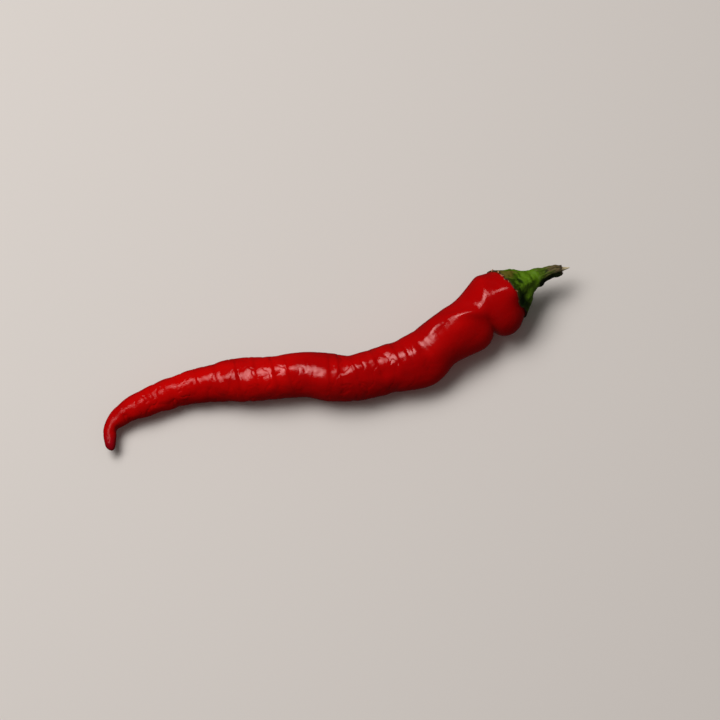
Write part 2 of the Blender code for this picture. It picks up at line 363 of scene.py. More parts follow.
def drawn_blank(sides, rings):
    """A ball with one ring of points for each station, and each point's ring and angle.
    Its poles take the first and the last ring number, and its faces are always made in
    the same order, so that a seeded scatter over them falls the same way each time."""
    last = rings * sides + 1
    faces = []
    for turn in range(sides):
        ahead = (turn + 1) % sides
        faces.append((0, 1 + ahead, 1 + turn))
        for low in range(1, last - sides, sides):
            faces.append((low + turn, low + ahead, low + sides + ahead, low + sides + turn))
        faces.append((last - sides + turn, last - sides + ahead, last))
    ring = np.array([0, *np.repeat(np.arange(1, rings + 1), sides), rings + 1])
    around = np.array([0.0, *np.tile(np.arange(sides) * 2 * math.pi / sides, rings), 0.0])
    blank = bpy.data.meshes.new("blank")
    blank.from_pydata(np.zeros((last + 1, 3)).tolist(), [], faces)
    return blank, ring, around


def set_points(mesh, points):
    mesh.vertices.foreach_set("co", (np.asarray(points) * MM).ravel())
    mesh.update()


def keep_values(mesh, **fields):
    """Stores a number or a vector for each point, for the trees and the materials."""
    for name, values in fields.items():
        vector = np.ndim(values) == 2
        kind = "FLOAT_VECTOR" if vector else "FLOAT"
        layer = mesh.attributes.new(name, kind, "POINT")
        layer.data.foreach_set("vector" if vector else "value", np.ravel(values))


def place_node(tree, kind, sockets=(), **settings):
    """Adds a node. Sockets maps an input's name or number to a value or to an output."""
    made = tree.nodes.new(kind)
    for name, value in settings.items():
        setattr(made, name, value)
    for key, value in dict(sockets).items():
        if isinstance(value, bpy.types.NodeSocket):
            tree.links.new(value, made.inputs[key])
        else:
            made.inputs[key].default_value = value
    return made


def maths(tree, operation, *values):
    return place_node(tree, "ShaderNodeMath", enumerate(values), operation=operation).outputs[0]


def vectors(tree, operation, *values):
    made = place_node(tree, "ShaderNodeVectorMath", enumerate(values), operation=operation)
    return made.outputs[0]


def noise(tree, at, detail=2.0, roughness=0.5, distortion=0.0, output=0):
    """Noise with features about one unit apart, as a value or, from output 1, a vector."""
    sockets = {
        "Vector": at,
        "Scale": 1.0,
        "Detail": detail,
        "Roughness": roughness,
        "Distortion": distortion,
    }
    return place_node(tree, "ShaderNodeTexNoise", sockets).outputs[output]


def ramp(tree, value, low, high, to_low=0.0, to_high=1.0):
    """A smooth step of a value from one number to another."""
    sockets = {
        "Value": value,
        "From Min": low,
        "From Max": high,
        "To Min": to_low,
        "To Max": to_high,
    }
    return place_node(
        tree, "ShaderNodeMapRange", sockets, interpolation_type="SMOOTHSTEP"
    ).outputs[0]


def new_tree(name, inputs):
    """A Geometry Nodes tree with the named inputs, its geometry input first."""
    tree = bpy.data.node_groups.new(name, "GeometryNodeTree")
    tree.interface.new_socket("Geometry", in_out="INPUT", socket_type="NodeSocketGeometry")
    for label, kind in inputs.items():
        tree.interface.new_socket(label, in_out="INPUT", socket_type="NodeSocket" + kind)
    tree.interface.new_socket("Geometry", in_out="OUTPUT", socket_type="NodeSocketGeometry")
    return tree, tree.nodes.new("NodeGroupInput").outputs


def end_tree(tree, geometry, material):
    """Makes the instances real, gives them their material, and hands them out."""
    real = place_node(tree, "GeometryNodeRealizeInstances", {"Geometry": geometry})
    dressed = place_node(
        tree, "GeometryNodeSetMaterial", {"Geometry": real.outputs[0], "Material": material}
    )
    place_node(tree, "NodeGroupOutput", {0: dressed.outputs[0]})


def grow(name, base, tree, settings):
    """The base mesh after the tree has worked on it, as a plain object of that name."""
    worked = bpy.data.objects.new(name, base)
    bpy.context.scene.collection.objects.link(worked)
    modifier = worked.modifiers.new(tree.name, "NODES")
    modifier.node_group = tree
    for item in tree.interface.items_tree:
        if item.in_out == "INPUT" and item.name in settings:
            modifier[item.identifier] = settings[item.name]
    evaluated = worked.evaluated_get(bpy.context.evaluated_depsgraph_get())
    grown = bpy.data.meshes.new_from_object(evaluated)
    worked.modifiers.clear()
    worked.data = grown
    grown.name = name
    grown.shade_smooth()
    return worked


def kept_value(tree, name, kind="FLOAT"):
    """A value that the base mesh keeps for each point."""
    return place_node(
        tree, "GeometryNodeInputNamedAttribute", {"Name": name}, data_type=kind
    ).outputs[0]


def skin_tree():
    """Presses folds into a skin along its straightened coordinates: soft pillows with
    sharp edges, broad dents, and thin creases. The height of a fold is kept as fold."""
    inputs = {
        "Crease depth": "Float",
        "Crease spacing": "Vector",
        "Crease width": "Float",
        "Pillow height": "Float",
        "Pillow spacing": "Vector",
        "Pillow unevenness": "Float",
        "Dent depth": "Float",
        "Dent spacing": "Vector",
        "Seed": "Float",
        "Skin": "Material",
    }
    tree, given = new_tree("Skin folds", inputs)
    place = vectors(tree, "ADD", kept_value(tree, "straight", "FLOAT_VECTOR"), given["Seed"])

    field = noise(tree, vectors(tree, "DIVIDE", place, given["Crease spacing"]), 2.0, 0.55, 0.4)
    off = maths(tree, "ABSOLUTE", maths(tree, "SUBTRACT", field, 0.5))
    crease = ramp(tree, off, given["Crease width"], 0.0)
    crease = maths(tree, "MULTIPLY", crease, given["Crease depth"])

    cells = vectors(tree, "DIVIDE", place, given["Pillow spacing"])
    wobble = vectors(tree, "SUBTRACT", noise(tree, cells, 1.0, output=1), (0.5, 0.5, 0.5))
    cells = vectors(
        tree, "ADD", cells, vectors(tree, "MULTIPLY", wobble, given["Pillow unevenness"])
    )
    reach = place_node(tree, "ShaderNodeTexVoronoi", {"Vector": cells, "Scale": 1.0}).outputs[0]
    pillow = maths(tree, "MULTIPLY", maths(tree, "MULTIPLY", reach, reach), given["Pillow height"])

    dent = noise(tree, vectors(tree, "DIVIDE", place, given["Dent spacing"]), 1.5)
    dent = maths(tree, "MULTIPLY", maths(tree, "SUBTRACT", 0.5, dent), given["Dent depth"])

    depth = maths(tree, "ADD", maths(tree, "ADD", crease, pillow), dent)
    height = maths(tree, "MULTIPLY", depth, maths(tree, "MULTIPLY", kept_value(tree, "ease"), -1.0))
    kept = place_node(
        tree,
        "GeometryNodeStoreNamedAttribute",
        {"Geometry": given["Geometry"], "Name": "fold", "Value": height},
    )
    normal = place_node(tree, "GeometryNodeInputNormal").outputs[0]
    shift = vectors(tree, "MULTIPLY", normal, maths(tree, "MULTIPLY", height, MM))
    moved = place_node(
        tree, "GeometryNodeSetPosition", {"Geometry": kept.outputs[0], "Offset": shift}
    )
    end_tree(tree, moved.outputs[0], given["Skin"])
    return tree


def new_material(name):
    """A material, its tree and its shader."""
    made = bpy.data.materials.new(name)
    made.use_nodes = True
    return made, made.node_tree, made.node_tree.nodes["Principled BSDF"]


def blend_colours(tree, share, one, other):
    made = place_node(tree, "ShaderNodeMix", data_type="RGBA")
    for key, value in ((0, share), (6, one), (7, other)):
        if isinstance(value, bpy.types.NodeSocket):
            tree.links.new(value, made.inputs[key])
        else:
            made.inputs[key].default_value = value
    return made.outputs[2]


def read_value(tree, name, output):
    return place_node(tree, "ShaderNodeAttribute", attribute_name=name).outputs[output]


def scaled(tree, vector, *per_axis):
    return vectors(tree, "MULTIPLY", vector, per_axis)


def roughen(tree, shader, grain, strength, depth):
    """Gives the shader a grain too fine to model. Its depth is in millimetres."""
    sockets = {"Height": grain, "Strength": strength, "Distance": depth * MM}
    bump = place_node(tree, "ShaderNodeBump", sockets)
    tree.links.new(bump.outputs[0], shader.inputs["Normal"])


def pod_skin():
    """Deep red with brighter clouds, painted shade of darker red in the creases and purple at
    the tip, under a wax that thins towards the tail and has a fine grain."""
    made, tree, shader = new_material("Pod skin")
    straight = read_value(tree, "straight", "Vector")
    relief = read_value(tree, "relief", "Fac")
    fold = read_value(tree, "fold", "Fac")
    along = place_node(tree, "ShaderNodeSeparateXYZ", {0: straight}).outputs[0]
    clouds = noise(tree, scaled(tree, straight, *CLOUDS), 3.0)
    colour = blend_colours(tree, ramp(tree, clouds, *CLOUD_OVER), DEEP_RED, BRIGHT_RED)
    # Painted shade: darker red where the skin lies low.
    sunk = maths(tree, "ADD", relief, maths(tree, "MULTIPLY", fold, FOLD_WEIGHT))
    colour = blend_colours(tree, ramp(tree, sunk, *POD_SHADE_OVER), colour, CREASE_SHADE_RED)
    tip = maths(tree, "MULTIPLY", ramp(tree, along, *PURPLE_OVER), PURPLE_SHARE)
    colour = blend_colours(tree, tip, colour, TIP_PURPLE)
    colour = blend_colours(tree, read_value(tree, "scar", "Fac"), colour, SCAR_BROWN)
    tree.links.new(colour, shader.inputs["Base Color"])
    streaks = noise(tree, scaled(tree, straight, *WAX_STREAKS), 4.0)
    dull = ramp(tree, streaks, *STREAKS_OVER, *SKIN_ROUGHNESS)
    tail = ramp(tree, along, *TAIL_OVER, 0.0, TAIL_ROUGHNESS)
    tree.links.new(maths(tree, "ADD", dull, tail), shader.inputs["Roughness"])
    wax = ramp(tree, along, *WAX_OVER, *WAX_LEVELS)
    tree.links.new(wax, shader.inputs["Specular IOR Level"])
    shader.inputs["Specular Tint"].default_value = WAX_TINT
    grain = noise(tree, scaled(tree, straight, *SKIN_GRAIN), 3.0, 0.6)
    roughen(tree, shader, grain, strength=0.4, depth=SKIN_GRAIN_DEPTH)
    shader.inputs["IOR"].default_value = FLESH_INDEX
    shader.inputs["Subsurface Weight"].default_value = FLESH_GLOW
    shader.inputs["Subsurface Radius"].default_value = FLESH_REACH
    shader.inputs["Subsurface Scale"].default_value = FLESH_SCALE * MM
    return made


POD = Limb(POD_SECTIONS)
SKIN_FOLDS = skin_tree()
RED_SKIN = pod_skin()


def make_pod():
    stations = rounded_ends(POD.length, TIP_NOSE, CROWN_DOME)
    rings = np.array([(0.0, 0.0), *stations, (POD.length, 0.0)])
    blank, ring, around = drawn_blank(POD_SIDES, len(stations))
    at, share = rings[ring].T
    relief = skin_relief(at, around)
    set_points(blank, POD.point(at, around, share, relief))
    keep_values(
        blank,
        straight=POD.straightened(at, around, share),
        relief=relief,
        scar=lumps(POD_SCARS, at, around),
        ease=np.interp(at, FOLD_PLACES, FOLD_SHARES),
    )
    settings = {
        "Crease depth": 0.16,
        "Crease spacing": (6.0, 12.0, 12.0),
        "Crease width": 0.025,
        "Pillow height": 0.55,
        "Pillow spacing": (6.0, 8.0, 8.0),
        "Pillow unevenness": 1.0,
        "Dent depth": 0.8,
        "Dent spacing": (9.0, 7.0, 7.0),
        "Seed": 3.0,
        "Skin": RED_SKIN,
    }
    pod = grow("Pod", blank, SKIN_FOLDS, settings)
    for vert in pod.data.vertices:
        vert.co.z = max(vert.co.z, FLOOR)
    return pod


pod = make_pod()
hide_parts("pod")
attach(pod, "root")


# The calyx
# The leathery green cap that held the flower. It hugs the pod's shoulder in a ring of
# blunt points, and its thin margin has dried brown and lifted in places.

CALYX_SIDES = 240
FLANK_STEPS = 90
CALYX_THICKNESS = 0.65
CALYX_RIM_BACK = 0.7
CALYX_POINTS = [(4, 0.9), (68, 0.3), (137, 1.8), (189, 0.9), (248, 1.4), (310, 0.9)]
POINT_SPREAD = 25.0
NECK_RADIUS = 3.2
NECK_STATION = 2.6
CALYX_RIBS = 6
CALYX_RIB_HEIGHT = 0.25
CALYX_RIB_TURN = 1.5

# Lumps and pits on the calyx: the share of the way from rim to neck, the side faced,
# half the length as a share, half the spread in degrees, and the height.
CALYX_LUMPS = [
    (0.52, 18, 0.16, 22, 0.7),
    (0.3, 62, 0.14, 20, 0.4),
    (0.62, 78, 0.1, 16, -0.6),
    (0.74, 104, 0.14, 24, 0.6),
    (0.4, 128, 0.14, 18, -0.45),
    (0.6, 160, 0.15, 22, 0.5),
    (0.8, 196, 0.1, 24, -0.4),
    (0.45, 232, 0.16, 26, 0.55),
    (0.55, 285, 0.14, 24, -0.45),
    (0.35, 330, 0.14, 20, 0.4),
]
LUMP_OUT = 0.8
LUMP_ALONG = 0.6

# Finer puckers, listed in the same way.
CALYX_PUCKERS = [
    (0.43, 93, 0.07, 11, -0.85),
    (0.0, 14, 0.12, 24, -0.3),
    (0.53, 69, 0.09, 12, 0.35),
    (0.46, 109, 0.07, 9, 0.5),
    (0.43, 147, 0.1, 9, 0.4),
    (0.2, 112, 0.07, 12, -0.35),
    (0.66, 128, 0.12, 7, -0.45),
    (0.66, 172, 0.14, 17, -0.9),
    (0.16, 66, 0.07, 10, 0.3),
    (0.28, 40, 0.08, 12, -0.4),
    (0.75, 215, 0.1, 12, 0.4),
    (0.4, 255, 0.08, 12, -0.5),
    (0.5, 305, 0.09, 12, 0.45),
    (0.6, 345, 0.08, 10, -0.45),
]

# Past the neck a sleeve of the same skin runs on over the stem and thins out on it. Its
# share is its span of levels, where the flank has one.
SLEEVE_SHARE = 0.3
SLEEVE_LENGTH = 2.3
SLEEVE_SUNK = 0.25

# Flank and sleeve are averaged over these shifts of this many levels, to round the neck.
NECK_ROUNDING = 0.11
NECK_SHIFTS = (-1, -0.5, 0, 0.5, 1)

# Swellings on the sleeve, with the share of its length first. A crease parts the
# calyx from the stem on the side that faced down.
SLEEVE_LUMPS = [
    (0.42, 190, 0.16, 46, -0.5),
    (0.05, 195, 0.2, 40, 0.1),
    (0.6, 60, 0.25, 30, 0.15),
]

# The skin's underside at the rim: the share of the way out from the crown's middle.
UNDER_RIM = 0.88

# The rim's uneven edge: how many waves go round, and the height of the broadest.
EDGE_WAVES = (7, 11, 17, 26, 41)
EDGE_HEIGHT = 0.5

# Patches that dried olive or brown, and patches of painted shade: the level, the side
# faced, half the length, half the spread in degrees, and the strength.
OLIVE_PATCHES = [
    (0.2, 58, 0.26, 27, 1.1),
    (0.1, 250, 0.16, 18, 0.8),
    (0.85, 60, 0.2, 40, 0.35),
]
BROWN_PATCHES = [
    (0.0, 28, 0.1, 24, 1.0),
    (0.0, 189, 0.05, 60, 0.8),
    (0.0, 310, 0.08, 16, 1.0),
]
# Painted shade on the lower flank, in the crease under the neck, and in the deepest pit.
SHADE_PATCHES = [
    (0.2, 140, 0.2, 30, 1.0),
    (1.15, 190, 0.12, 50, 1.0),
    (0.43, 93, 0.08, 12, 1.3),
]

# How far in from the edge the rim is brown all round, as a level.
BROWN_RIM = 0.035

# Where the margin split into dry flecks, in the same form.
FLECK_PLACES = [
    (0.01, 68, 0.05, 7, 1.0),
    (0.02, 40, 0.05, 10, 0.5),
    (0.0, 94, 0.04, 5, 1.0),
    (0.0, 110, 0.04, 5, 1.0),
    (0.0, 262, 0.05, 9, 0.8),
    (0.0, 330, 0.04, 6, 0.8),
]

DARK_GREEN = (0.026, 0.052, 0.0006, 1)
LEAF_GREEN = (0.097, 0.2, 0.004, 1)
# The green painted as shade in the pits and the shade patches.
SHADED_GREEN = (0.01, 0.028, 0.0006, 1)
DRY_OLIVE = (0.13, 0.108, 0.012, 1)
RIM_BROWN = (0.06, 0.028, 0.01, 1)

# Patterns in the cap's skin: how often they repeat in a millimetre along each axis.
LEAF_MOTTLE = (0.45, 0.45, 0.45)
LEAF_GRAIN = (2.5, 2.5, 2.5)
LEAF_GRAIN_DEPTH = 0.12

# Where each colour starts and where it is full: the bright green by level, the painted shade
# in the pits by the depth of a fold, the rest by the strength of a patch, painted shade
# among them. Mottling shifts their edges.
BRIGHT_OVER = (-0.1, 0.5)
BRIGHT_SHIFT = 2.5
PIT_SHADE_OVER = (-0.3, -0.7)
SHADE_PATCH_OVER = (0.2, 0.9)
OLIVE_OVER = (0.3, 0.8)
OLIVE_SHIFT = 1.6
BROWN_OVER = (0.4, 0.7)
LEAF_ROUGHNESS = (0.4, 0.6)
LEAF_SHINE = 0.22

# The stem's sections: a peg sunk in the calyx, the flared foot that meets the neck, and
# the stub up to its snapped end. Each is x, y, z and half the width.
STEM_SECTIONS = [
    (63.2, 25.4, 10.9, 1.9),
    (64.9, 26.4, 10.9, 2.0),
    (65.8, 26.9, 10.9, 2.95),
    (68.2, 28.1, 11.0, 2.7),
    (70.7, 29.1, 11.1, 2.1),
    (72.9, 29.7, 11.3, 1.8),
    (75.0, 30.0, 11.5, 1.45),
]
STEM = Limb(STEM_SECTIONS)


def ragged(around, height, seed):
    """An uneven edge: waves round it from a seeded draw, the short ones weaker."""
    draw = np.random.default_rng(seed)
    edge = np.zeros(len(around))
    for count in EDGE_WAVES:
        edge += np.sin(count * around + draw.uniform(0, 2 * math.pi)) / math.sqrt(count)
    return height * edge


def calyx_rim(around):
    """The outer edge of the rim, a little proud of the pod."""
    place = np.full(len(around), POD.length - CROWN_DOME + CALYX_RIM_BACK)
    for facing, reach in CALYX_POINTS:
        place -= reach * bell(turned_by(around, facing), POINT_SPREAD)
    proud = skin_relief(place, around) + CALYX_THICKNESS
    place += ragged(around, EDGE_HEIGHT, seed=4)
    return POD.point(place, around, np.ones(len(place)), proud)


def calyx_flank(level, around):
    """The outer face. Level runs from 0 at the rim to 1 at the neck."""
    neck = np.array([NECK_STATION])
    axes = STEM.axes(neck)
    out = spokes(axes, around)
    low = calyx_rim(around)
    high = STEM.middle(neck) + NECK_RADIUS * out
    ribs = CALYX_RIB_HEIGHT * np.cos(CALYX_RIBS * around + CALYX_RIB_TURN * level)
    height = np.sin(math.pi * level) * ribs
    height += lumps(CALYX_LUMPS, level, around) + lumps(CALYX_PUCKERS, level, around)
    proud = height[:, None] * (LUMP_OUT * out + LUMP_ALONG * axes[0])
    return low + (high - low) * level[:, None] + proud


def calyx_sleeve(share, around):
    """The face over the stem. Share runs from 0 at the neck to 1 at the sleeve's end."""
    station = NECK_STATION + SLEEVE_LENGTH * share
    step = NECK_RADIUS - STEM.read(3, np.array([NECK_STATION]))
    radius = STEM.read(3, station) + step * (1 - share) ** 2 - SLEEVE_SUNK * share**2
    radius += lumps(SLEEVE_LUMPS, share, around)
    return STEM.middle(station) + radius[:, None] * spokes(STEM.axes(station), around)


def calyx_face(level, around):
    """Flank and sleeve as one skin, rounded where they meet."""
    face = 0.0
    spread = NECK_ROUNDING * bell(level - 1, SLEEVE_SHARE)
    for shift in NECK_SHIFTS:
        there = level + shift * spread
        flank = calyx_flank(np.clip(there, 0, 1), around)
        sleeve = calyx_sleeve(np.clip((there - 1) / SLEEVE_SHARE, 0, 1), around)
        face = face + np.where(there[:, None] > 1, sleeve, flank) / len(NECK_SHIFTS)
    return face


def calyx_green():
    """Mottled leathery green, dark near the pod, with painted shade in the pits and in a few
    patches, olive in dry patches, and dark brown along the rim."""
    made, tree, shader = new_material("Calyx green")
    straight = read_value(tree, "straight", "Vector")
    level = read_value(tree, "level", "Fac")
    mottle = noise(tree, scaled(tree, straight, *LEAF_MOTTLE), 4.0, 0.62)
    uneven = maths(tree, "SUBTRACT", mottle, 0.5)
    bright = maths(tree, "ADD", level, maths(tree, "MULTIPLY", uneven, BRIGHT_SHIFT))
    colour = blend_colours(tree, ramp(tree, bright, *BRIGHT_OVER), DARK_GREEN, LEAF_GREEN)
    fold = read_value(tree, "fold", "Fac")
    # Painted shade in the pits, by the depth of a fold.
    colour = blend_colours(tree, ramp(tree, fold, *PIT_SHADE_OVER), colour, SHADED_GREEN)
    # Painted shade in the listed shade patches.
    dark = maths(tree, "ADD", read_value(tree, "dark", "Fac"), uneven)
    colour = blend_colours(tree, ramp(tree, dark, *SHADE_PATCH_OVER), colour, SHADED_GREEN)
    olive = read_value(tree, "olive", "Fac")
    olive = maths(tree, "ADD", olive, maths(tree, "MULTIPLY", uneven, OLIVE_SHIFT))
    colour = blend_colours(tree, ramp(tree, olive, *OLIVE_OVER), colour, DRY_OLIVE)
    brown = maths(tree, "ADD", read_value(tree, "brown", "Fac"), uneven)
    colour = blend_colours(tree, ramp(tree, brown, *BROWN_OVER), colour, RIM_BROWN)
    tree.links.new(colour, shader.inputs["Base Color"])
    dull = ramp(tree, mottle, *NOISE_SPAN, *LEAF_ROUGHNESS)
    tree.links.new(dull, shader.inputs["Roughness"])
    grain = noise(tree, scaled(tree, straight, *LEAF_GRAIN), 4.0, 0.6)
    roughen(tree, shader, grain, strength=0.5, depth=LEAF_GRAIN_DEPTH)
    shader.inputs["Specular IOR Level"].default_value = LEAF_SHINE
    return made


def make_calyx():
    sleeve_steps = round(FLANK_STEPS * SLEEVE_SHARE)
    blank, ring, around = drawn_blank(CALYX_SIDES, FLANK_STEPS + sleeve_steps + 2)
    level = np.clip((ring - 2) / FLANK_STEPS, 0, 1 + SLEEVE_SHARE)
    points = calyx_face(level, around)
    core = POD.middle(np.array([POD.length - CROWN_DOME]))
    under = ring < 2
    points[under] = core + (points[under] - core) * (UNDER_RIM * ring[under])[:, None]
    points[ring == ring.max()] = STEM.middle(np.array([NECK_STATION + SLEEVE_LENGTH]))
    set_points(blank, points)
    rim = bell(level, BROWN_RIM)
    ease_at_rim = np.clip(4 * level, 0.2, 1.0)
    ease_on_sleeve = np.clip(6 * (1.1 - level), 0.15, 1.0)
    keep_values(
        blank,
        straight=points - core,
        level=level,
        olive=lumps(OLIVE_PATCHES, level, around),
        brown=rim + lumps(BROWN_PATCHES, level, around),
        # The strength of the painted shade patches.
        dark=lumps(SHADE_PATCHES, level, around),
        flecks=lumps(FLECK_PLACES, level, around),
        ease=ease_at_rim * ease_on_sleeve,
    )
    settings = {
        "Crease depth": 0.12,
        "Crease spacing": (4.0, 4.0, 4.0),
        "Crease width": 0.03,
        "Pillow height": 0.4,
        "Pillow spacing": (2.2, 2.2, 2.2),
        "Pillow unevenness": 1.0,
        "Dent depth": 0.7,
        "Dent spacing": (2.5, 2.5, 2.5),
        "Seed": 11.0,
        "Skin": calyx_green(),
    }
    return grow("Calyx", blank, SKIN_FOLDS, settings)


calyx = make_calyx()
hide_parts("calyx")
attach(calyx, "root")


# The dry flecks
# Pale tan flakes where the thin margin of the calyx dried and split. They cling to its
# edge, thickest on the side that faced up.

FLECKS_PER_SQUARE_METRE = 1.1e6
SMALLEST_FLECK = 0.3
LARGEST_FLECK = 0.7
FLECK_NARROWNESS = 0.6
FLECK_FLATNESS = 0.3
FLECK_SEED = 12
FLECK_TAN = (0.5, 0.24, 0.105, 1)
FLECK_BROWN = (0.27, 0.11, 0.045, 1)
FLECK_MOTTLE = (0.4, 0.4, 0.4)

# Dry plant matter is dull, and its pale streaks a little less so than its dark ones.
DRY_TONES_OVER = (0.35, 0.65)
DRY_ROUGHNESS = (0.85, 0.65)
DRY_GRAIN_DEPTH = 0.1


def fleck_tree():
    """Scatters flat rounded flakes over a surface where its points keep a value."""
    inputs = {
        "Per area": "Float",
        "Smallest": "Float",
        "Largest": "Float",
        "Narrowness": "Float",
        "Flatness": "Float",
        "Seed": "Int",
        "Fleck": "Material",
    }
    tree, given = new_tree("Scattered flecks", inputs)
    dense = maths(tree, "MULTIPLY", kept_value(tree, "flecks"), given["Per area"])
    spots = place_node(
        tree,
        "GeometryNodeDistributePointsOnFaces",
        {"Mesh": given["Geometry"], "Density": dense, "Seed": given["Seed"]},
    )
    flake = place_node(tree, "GeometryNodeMeshIcoSphere", {"Radius": 1.0, "Subdivisions": 2})
    size = place_node(
        tree,
        "FunctionNodeRandomValue",
        {2: given["Smallest"], 3: given["Largest"], "Seed": given["Seed"]},
    ).outputs[1]
    narrow = maths(tree, "MULTIPLY", size, given["Narrowness"])
    thin = maths(tree, "MULTIPLY", size, given["Flatness"])
    flat = place_node(tree, "ShaderNodeCombineXYZ", {0: size, 1: narrow, 2: thin})
    placed = place_node(
        tree,
        "GeometryNodeInstanceOnPoints",
        {
            "Points": spots.outputs["Points"],
            "Instance": flake.outputs[0],
            "Rotation": spots.outputs["Rotation"],
            "Scale": flat.outputs[0],
        },
    )
    end_tree(tree, placed.outputs[0], given["Fleck"])
    return tree


def dried(name, pale, dark, spacing):
    """Dry plant matter in two tones, mottled or streaked with spacings along the axes in
    millimetres."""
    made, tree, shader = new_material(name)
    place = place_node(tree, "ShaderNodeTexCoord").outputs["Object"]
    per_metre = [1 / (step * MM) for step in spacing]
    streaks = noise(tree, scaled(tree, place, *per_metre), 3.0, 0.6)
    colour = blend_colours(tree, ramp(tree, streaks, *DRY_TONES_OVER), dark, pale)
    tree.links.new(colour, shader.inputs["Base Color"])
    dull = ramp(tree, streaks, *NOISE_SPAN, *DRY_ROUGHNESS)
    tree.links.new(dull, shader.inputs["Roughness"])
    roughen(tree, shader, streaks, strength=0.5, depth=DRY_GRAIN_DEPTH)
    return made


flecks = grow(
    "Dry_flecks",
    calyx.data.copy(),
    fleck_tree(),
    {
        "Per area": FLECKS_PER_SQUARE_METRE,
        "Smallest": SMALLEST_FLECK * MM,
        "Largest": LARGEST_FLECK * MM,
        "Narrowness": FLECK_NARROWNESS,
        "Flatness": FLECK_FLATNESS,
        "Seed": FLECK_SEED,
        "Fleck": dried("Dry tan", FLECK_TAN, FLECK_BROWN, FLECK_MOTTLE),
    },
)
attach(flecks, "root")


# The stem
# The stub of the fruit stalk, tough and ribbed, that broke off the plant by hand. Its end
# has dried dark brown round a pale pith, and a few fibres were pulled out of it.

STEM_SIDES = 120
STEM_STEPS = 150
STEM_RIBS = 5
STEM_RIB_SHARE = 0.06
STEM_RIB_TURN = 0.2
STEM_PLUMP = 0.15
PEG_END_SHARE = 0.5

# Swellings on the stem, in the same form as the pod's.
STEM_LUMPS = [
    (10.9, 70, 0.8, 50, 0.22),
    (8.2, 250, 0.9, 60, 0.2),
    (6.2, 80, 0.8, 60, -0.2),
    (4.8, 300, 1.0, 50, 0.2),
    (11.8, 205, 1.8, 70, 0.45),
]

# The snapped end: shares of the section for its rings, how far its edge is torn and over
# what length, and how deep the pith has sunk.
END_SHARES = (0.94, 0.8, 0.62, 0.44, 0.26, 0.1)
END_TORN = 0.45
END_TORN_OVER = 1.6
PITH_SUNK = 0.5
PITH_REACH = 0.62

STEM_GREEN = (0.075, 0.14, 0.005, 1)
STEM_OLIVE = (0.075, 0.08, 0.01, 1)
STEM_PALE = (0.16, 0.155, 0.03, 1)
# The colour painted as shade underneath and in the crevices.
STEM_SHADE = (0.012, 0.02, 0.002, 1)
STEM_BROWN = (0.135, 0.092, 0.038, 1)
END_DARK = (0.045, 0.03, 0.014, 1)
PITH_PALE = (0.36, 0.27, 0.14, 1)

# Patterns in the bark, as for the pod's skin.
BARK_STREAKS = (0.25, 1.3, 1.3)
BARK_GRAIN = (1.0, 5.0, 5.0)
BARK_GRAIN_DEPTH = 0.15
BARK_ROUGHNESS = 0.65
BARK_SHINE = 0.2

# Where each colour starts and where it is full: the pale streaks by their strength, the
# green of the foot, the brown and the dark end by the place along the stem, the painted
# shade in the crevices by the depth of a fold. The streaks shift the edges of the green and
# the brown.
PALE_OVER = (0.42, 0.66)
FOOT_OVER = (8.5, 5.0)
DRIED_OVER = (8.5, 10.5)
DRIED_SHIFT = 14.0
CREVICE_SHADE_OVER = (-0.2, -0.45)
END_OVER = (11.8, 12.5)

# Painted shade on the underside, by the distance out from the middle towards the side that
# faces the light: the shares of along, far side and up.
LIT_SIDE = (0.0, 0.5, 0.87)
SHADE_OVER = (1.3, 0.3)
SHADE_SHIFT = 2.0


def stem_bark():
    """Olive with pale streaks along it, green at the foot, painted shade underneath and in the
    folds, brown towards the dried end, with a pale pith."""
    made, tree, shader = new_material("Stem bark")
    straight = read_value(tree, "straight", "Vector")
    along = place_node(tree, "ShaderNodeSeparateXYZ", {0: straight}).outputs[0]
    streaks = noise(tree, scaled(tree, straight, *BARK_STREAKS), 4.0, 0.62)
    colour = blend_colours(tree, ramp(tree, streaks, *PALE_OVER), STEM_OLIVE, STEM_PALE)
    uneven = maths(tree, "SUBTRACT", streaks, 0.5)
    shifted = maths(tree, "ADD", along, maths(tree, "MULTIPLY", uneven, DRIED_SHIFT))
    colour = blend_colours(tree, ramp(tree, shifted, *FOOT_OVER), colour, STEM_GREEN)
    colour = blend_colours(tree, ramp(tree, shifted, *DRIED_OVER), colour, STEM_BROWN)
    # Painted shade in the crevices, by the depth of a fold.
    fold = read_value(tree, "fold", "Fac")
    colour = blend_colours(tree, ramp(tree, fold, *CREVICE_SHADE_OVER), colour, STEM_SHADE)
    # Painted shade on the underside, away from the light.
    sides = scaled(tree, straight, *LIT_SIDE)
    _, side, up = place_node(tree, "ShaderNodeSeparateXYZ", {0: sides}).outputs
    lit = maths(tree, "ADD", side, up)
    lit = maths(tree, "ADD", lit, maths(tree, "MULTIPLY", uneven, SHADE_SHIFT))
    colour = blend_colours(tree, ramp(tree, lit, *SHADE_OVER), colour, STEM_SHADE)
    colour = blend_colours(tree, ramp(tree, along, *END_OVER), colour, END_DARK)
    colour = blend_colours(tree, read_value(tree, "pith", "Fac"), colour, PITH_PALE)
    tree.links.new(colour, shader.inputs["Base Color"])
    shader.inputs["Roughness"].default_value = BARK_ROUGHNESS
    shader.inputs["Specular IOR Level"].default_value = BARK_SHINE
    grain = noise(tree, scaled(tree, straight, *BARK_GRAIN), 4.0, 0.6)
    roughen(tree, shader, grain, strength=0.7, depth=BARK_GRAIN_DEPTH)
    return made


